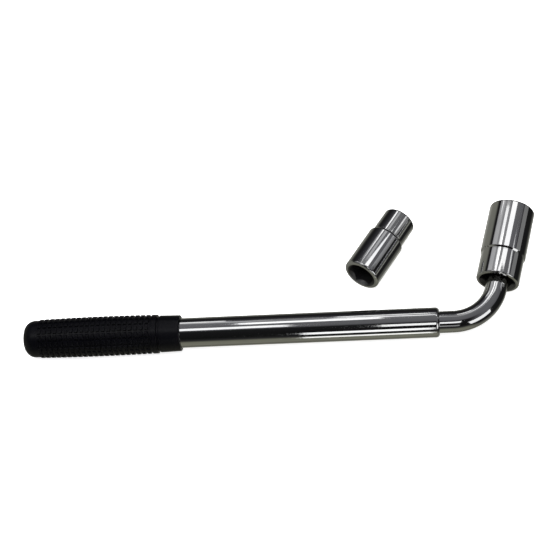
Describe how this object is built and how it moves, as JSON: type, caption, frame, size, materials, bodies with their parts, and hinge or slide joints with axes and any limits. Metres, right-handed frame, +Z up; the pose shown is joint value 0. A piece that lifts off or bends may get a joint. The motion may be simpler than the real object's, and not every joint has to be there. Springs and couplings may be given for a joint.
{
  "type": "telescopic lug wrench",
  "caption": "Telescopic L-shaped lug wrench with a rubber grip, a swivelling bent rod, a fitted double-ended nut socket and a spare one lying beside it.",
  "frame": {"origin": "bottom centre of the whole object's box, on the table that the wrench lies on", "axes": "+X along the handle from the grip to the bend (the handle dips 0.94 degrees towards the bend, as it rests), +Y the way the short leg and its socket point, +Z up"},
  "size_m": [0.38, 0.1154, 0.0415],
  "materials": {
    "grip_rubber": "matte black moulded rubber",
    "tube_chrome": "bright chrome plate on drawn tube",
    "rod_chrome": "bright chrome plate on a forged rod",
    "socket_chrome": "bright chrome plate on turned steel",
    "plain_steel": "turned steel",
    "bearing_steel": "polished ball steel",
    "spring_steel": "spring wire",
    "sleeve_plastic": "natural acetal"
  },
  "bodies": {
    "handle": {"rubber_grip": "grip_rubber", "handle_tube": "tube_chrome"},
    "slider": {"guide_sleeve": "sleeve_plastic"},
    "rod": {"wrench_rod": "rod_chrome", "tail_collar": "plain_steel", "tail_collar_pin": "plain_steel", "click_spring": "spring_steel", "drive_spring": "spring_steel"},
    "click_ball": {"click_ball": "bearing_steel"},
    "drive_ball": {"drive_ball": "bearing_steel"},
    "fitted_socket": {"fitted_socket_21_23": "socket_chrome"},
    "spare_socket": {"spare_socket_17_19": "socket_chrome"}
  },
  "joints": [
    {"name": "handle_extend", "type": "slide", "parent": "handle", "child": "slider", "axis": [0.9999, 0, -0.0165], "range_m": [0, 0.18]},
    {"name": "rod_swivel", "type": "hinge", "parent": "slider", "child": "rod", "pos_m": [-0.06893, -0.04288, 0.01402], "axis": [0.9999, 0, -0.0165], "continuous": true},
    {"name": "click_ball_press", "type": "slide", "parent": "rod", "child": "click_ball", "axis": [-0.0162, 0.1691, -0.9855], "range_m": [0, 0.001], "stiffness_N_per_m": 500, "springref_m": -0.002, "deforming": ["click_spring"]},
    {"name": "fitted_socket_pull_off", "type": "slide", "parent": "rod", "child": "fitted_socket", "axis": [0.2412, 0.9571, 0.1603], "range_m": [0, 0.05]},
    {"name": "drive_ball_press", "type": "slide", "parent": "rod", "child": "drive_ball", "axis": [-0.0162, 0.1691, -0.9855], "range_m": [0, 0.001], "stiffness_N_per_m": 500, "springref_m": -0.002, "deforming": ["drive_spring"]},
    {"name": "spare_socket_lift", "type": "slide", "parent": "handle", "child": "spare_socket", "axis": [0, 0, 1], "range_m": [0, 0.06]}
  ]
}
